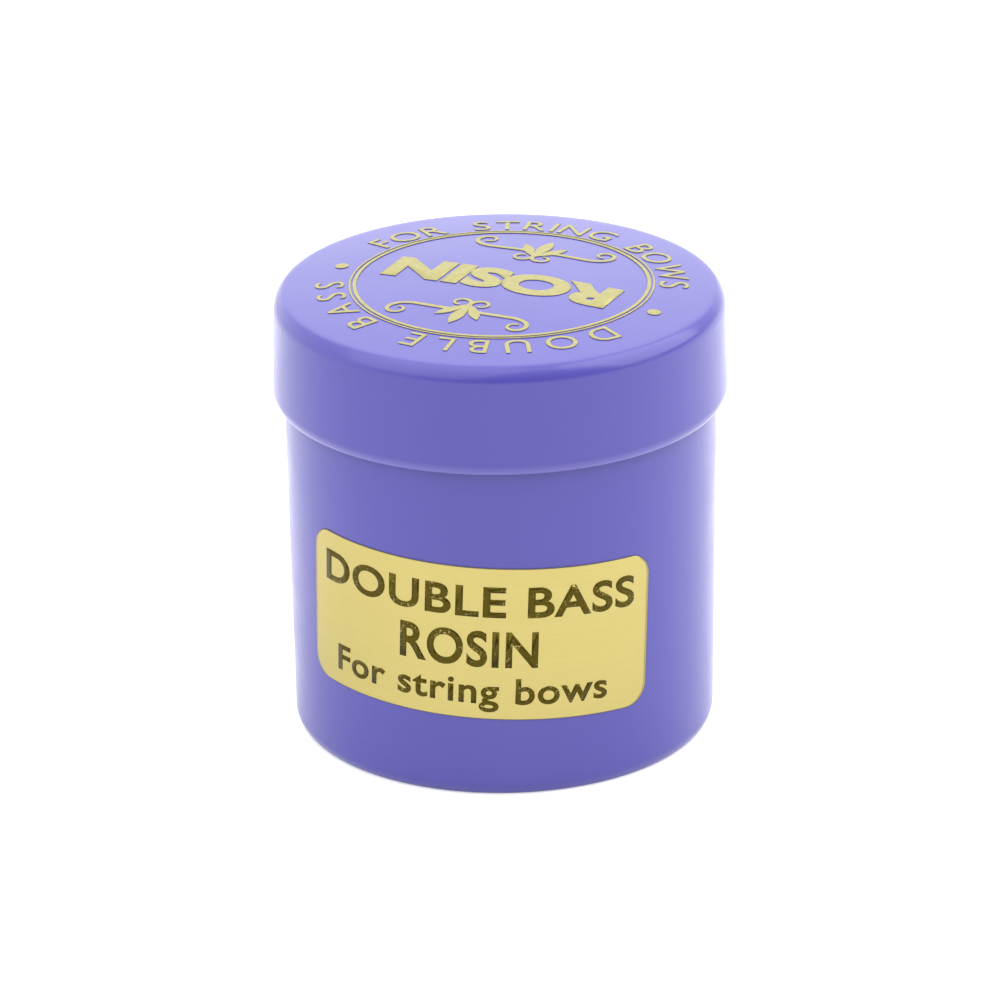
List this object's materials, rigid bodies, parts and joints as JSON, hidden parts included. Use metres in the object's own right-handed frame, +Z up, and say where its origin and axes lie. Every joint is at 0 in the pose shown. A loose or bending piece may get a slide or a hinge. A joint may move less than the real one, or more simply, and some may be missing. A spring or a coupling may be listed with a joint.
{
  "type": "boxed bow rosin cake",
  "caption": "Round cake of bow rosin in a paper cup, inside a cylindrical plastic tub with a push-on over-cap lid, a foil side label and stamped foil print.",
  "frame": {"origin": "centre of the face that the tub stands on", "axes": "+Z up along the tub's axis, towards the lid; -Y is the side that carries the label; +X to the right of the label"},
  "size_m": [0.0476, 0.0476, 0.0487],
  "materials": {
    "tub_plastic": "satin violet moulded polypropylene",
    "lid_plastic": "satin violet moulded polypropylene",
    "rosin": "amber resin, glossy at the side, dusty on top",
    "paper": "pleated waxed paper",
    "label_foil": "fine brushed gold foil with dark print",
    "print_foil": "pale gold hot-stamped foil"
  },
  "bodies": {
    "tub": {"tub": "tub_plastic", "side_label": "label_foil"},
    "cake": {"rosin_cake": "rosin", "paper_cup": "paper"},
    "lid": {"lid": "lid_plastic", "foil_ring_inner": "print_foil", "foil_ring_outer": "print_foil", "foil_dot_left": "print_foil", "foil_dot_right": "print_foil", "foil_scroll_front": "print_foil", "foil_scroll_back": "print_foil"}
  },
  "joints": [
    {"name": "cake_lift", "type": "slide", "parent": "tub", "child": "cake", "axis": [0, 0, 1], "range_m": [0, 0.05]},
    {"name": "lid_lift", "type": "slide", "parent": "cake", "child": "lid", "axis": [0, 0, 1], "range_m": [0, 0.06]}
  ]
}
